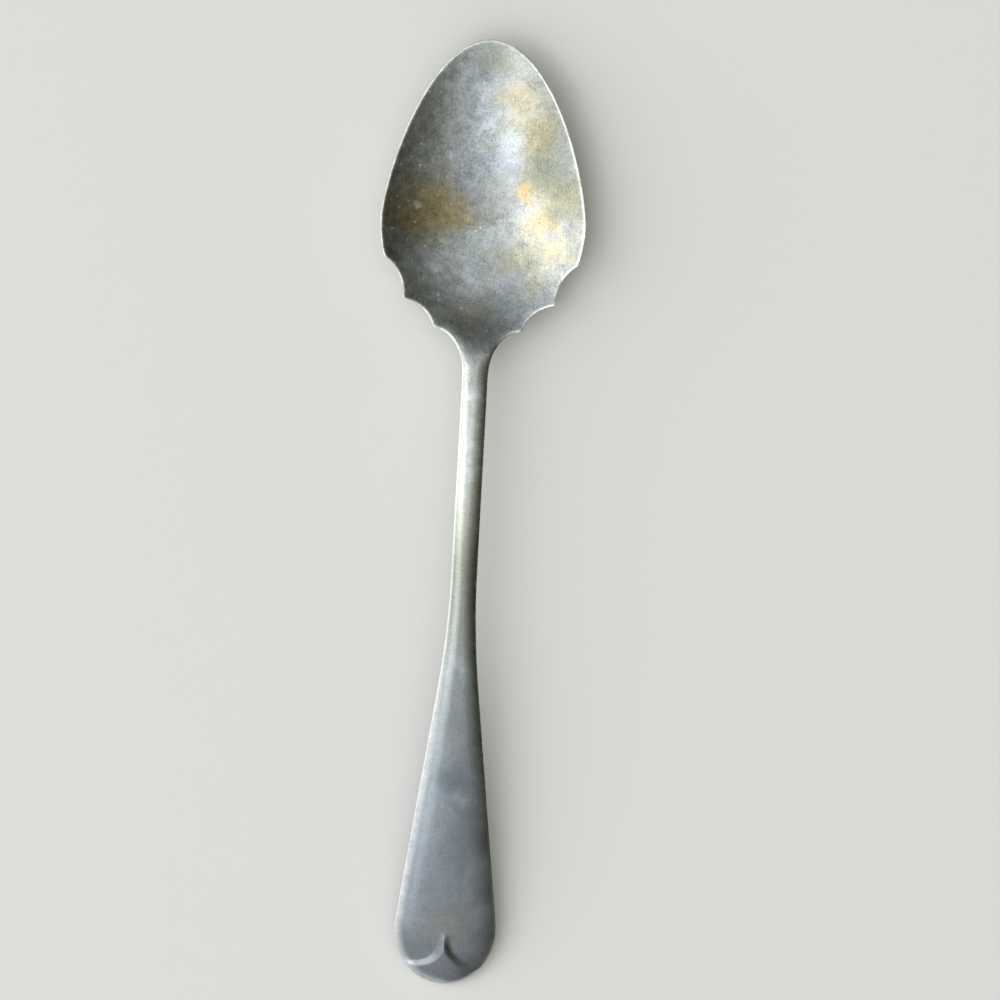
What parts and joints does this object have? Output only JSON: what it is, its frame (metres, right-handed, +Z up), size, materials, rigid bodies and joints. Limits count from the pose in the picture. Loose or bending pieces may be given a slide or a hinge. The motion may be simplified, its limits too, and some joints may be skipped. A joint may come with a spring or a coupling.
{
  "type": "sugar spoon",
  "caption": "Sugar spoon with a shallow pointed-egg bowl, scalloped shoulders and a slim arched stem that widens to a rounded, turned-down handle end with a raised pip.",
  "frame": {"origin": "on the table surface that the spoon rests on, at mid-length, on its centre line", "axes": "+Y along the spoon to the bowl's tip, +Z up out of the bowl, +X across"},
  "size_m": [0.0326, 0.15, 0.0101],
  "materials": {
    "bowl_plate": "worn and tarnished silver plate on nickel silver",
    "handle_plate": "worn satin silver plate on nickel silver",
    "silver_solder": "dressed flush"
  },
  "bodies": {
    "root": {"bowl": "bowl_plate", "handle": "handle_plate", "braze_seam": "silver_solder"}
  },
  "joints": []
}
